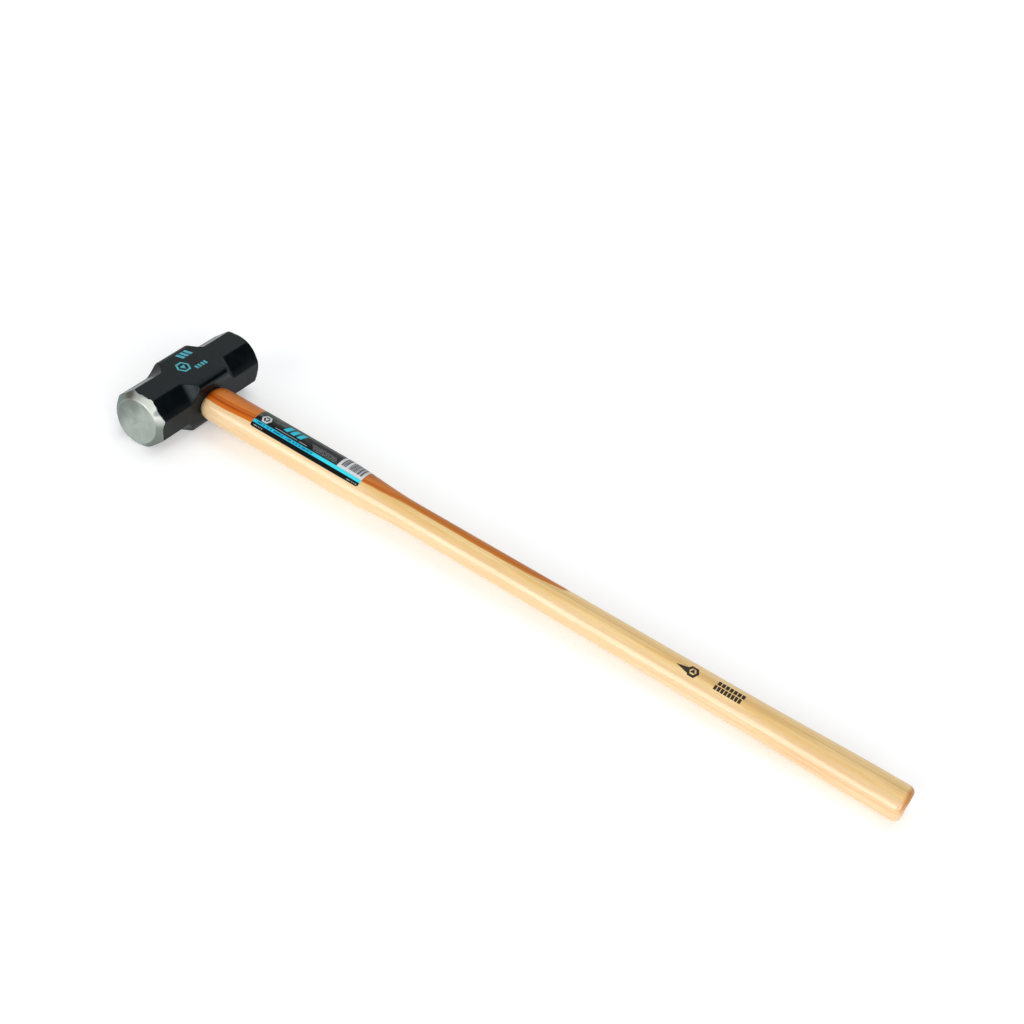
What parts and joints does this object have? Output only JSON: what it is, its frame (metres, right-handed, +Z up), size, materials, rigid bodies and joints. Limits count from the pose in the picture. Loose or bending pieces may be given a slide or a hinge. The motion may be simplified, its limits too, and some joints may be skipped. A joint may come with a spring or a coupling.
{
  "type": "sledge hammer",
  "caption": "Double-faced sledge hammer: octagonal forged steel head with a square eye block, wedged on a straight oval hickory handle with a thick shoulder, slim waist and swelled butt.",
  "frame": {"origin": "on the ground, under the middle of the hammer's bounding box, with the hammer lying on one cheek of the head and on the swell of the butt", "axes": "+X runs level from the head to the butt, over the handle, which dips towards the ground by just under 1 degree; +Y runs along the head, from one striking face to the other; +Z is up"},
  "size_m": [0.9194, 0.1784, 0.0649],
  "materials": {
    "head_paint": "satin black paint on forged steel; the striking faces and their bevels are ground bare",
    "hickory": "clear gloss varnish over pale sapwood with a streak of orange-brown heartwood",
    "wedge_timber": "raw sawn hardwood",
    "wedge_steel": "bare rolled steel, dull",
    "label_film": "glossy printed film, dark with a pale blue stripe"
  },
  "bodies": {
    "root": {"hammer_head": "head_paint", "handle": "hickory", "timber_wedge": "wedge_timber", "steel_wedge_1": "wedge_steel", "steel_wedge_2": "wedge_steel", "handle_label": "label_film"}
  },
  "joints": []
}
